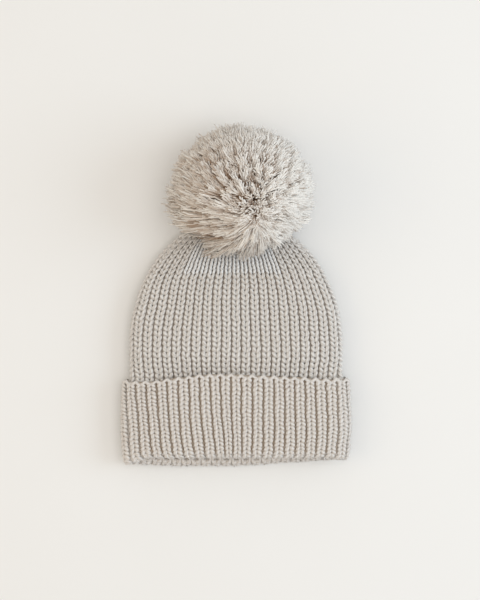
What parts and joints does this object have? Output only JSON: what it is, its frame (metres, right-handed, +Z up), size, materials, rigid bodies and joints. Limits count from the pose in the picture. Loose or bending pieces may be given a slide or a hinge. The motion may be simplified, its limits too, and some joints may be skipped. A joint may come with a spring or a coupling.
{
  "type": "pom pom beanie",
  "caption": "Chunky rib-knit winter beanie lying flat, with a turned-up cuff, a gathered dome top and a large yarn pom pom tied on at the tip.",
  "frame": {"origin": "on the table, under the middle of the hat's box as it lies flat", "axes": "+X across the hat, +Y from the folded brim to the pom, +Z up from the table through the layers"},
  "size_m": [0.2, 0.291, 0.096],
  "materials": {
    "rib_knit": "matte",
    "crown_knit": "matte",
    "fine_knit": "matte",
    "seam_yarn": "matte",
    "tie_yarn": "matte",
    "pom_yarn": "matte"
  },
  "bodies": {
    "hat": {"cuff": "rib_knit", "brim": "rib_knit", "crown": "crown_knit", "gathered_top": "fine_knit", "gather_yarn": "tie_yarn", "back_seam": "seam_yarn"},
    "cuff_free_edge": {"cuff_edge": "rib_knit"},
    "tie": {"tie_loop": "tie_yarn", "inner_knot": "tie_yarn", "tie_tails": "tie_yarn"},
    "pom": {"tie_neck": "tie_yarn", "pom_binding": "tie_yarn", "pom_strands": "pom_yarn"}
  },
  "joints": [
    {"name": "cuff_turn", "type": "slide", "parent": "hat", "child": "cuff_free_edge", "axis": [0, -1, 0], "range_m": [0, 0.142], "deforming": ["cuff"]},
    {"name": "pom_swing", "type": "hinge", "parent": "hat", "child": "tie", "pos_m": [0, 0.0715, 0.009], "axis": [0, 0, 1], "range_deg": [-20, 20]},
    {"name": "pom_nod", "type": "hinge", "parent": "tie", "child": "pom", "pos_m": [0, 0.0715, 0.009], "axis": [1, 0, 0], "range_deg": [-90, 0]}
  ]
}
